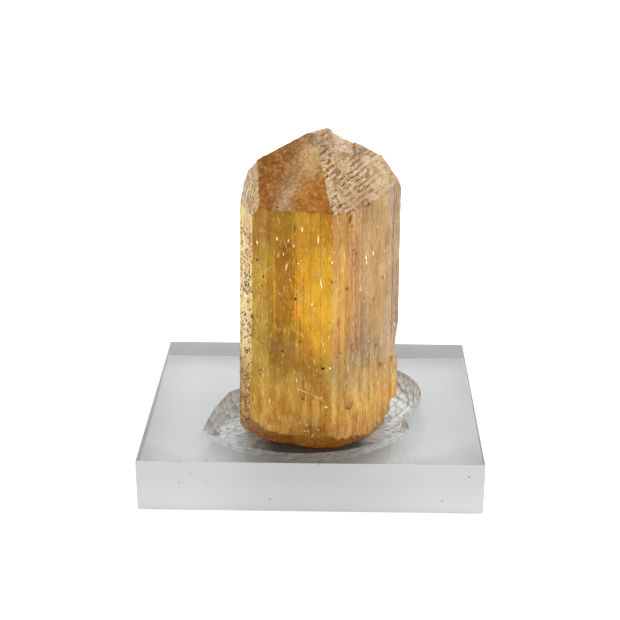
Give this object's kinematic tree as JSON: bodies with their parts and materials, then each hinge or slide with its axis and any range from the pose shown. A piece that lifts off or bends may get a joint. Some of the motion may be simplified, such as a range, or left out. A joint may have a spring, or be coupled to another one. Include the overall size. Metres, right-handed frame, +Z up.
{
  "type": "imperial topaz crystal specimen on a clear acrylic base",
  "caption": "Striated golden topaz crystal with an etched pyramid tip and a broken foot, standing upright in a scalloped seat ground into a clear acrylic slab",
  "frame": {"origin": "centre of the flat underside of the acrylic slab, on the surface it stands on", "axes": "+Z up along the crystal, +X along the slab's long side to the viewer's right, +Y away from the viewer along the slab's short side"},
  "size_m": [0.0762, 0.0636, 0.078],
  "materials": {
    "golden_topaz": "transparent golden topaz, finely striated along the prism, etched on the tip, with small reddish-brown inclusions",
    "clear_acrylic": "clear cast acrylic, polished top, satin sawn edges, frosted scalloped seat"
  },
  "bodies": {
    "root": {"topaz_crystal": "golden_topaz", "acrylic_base": "clear_acrylic"}
  },
  "joints": []
}
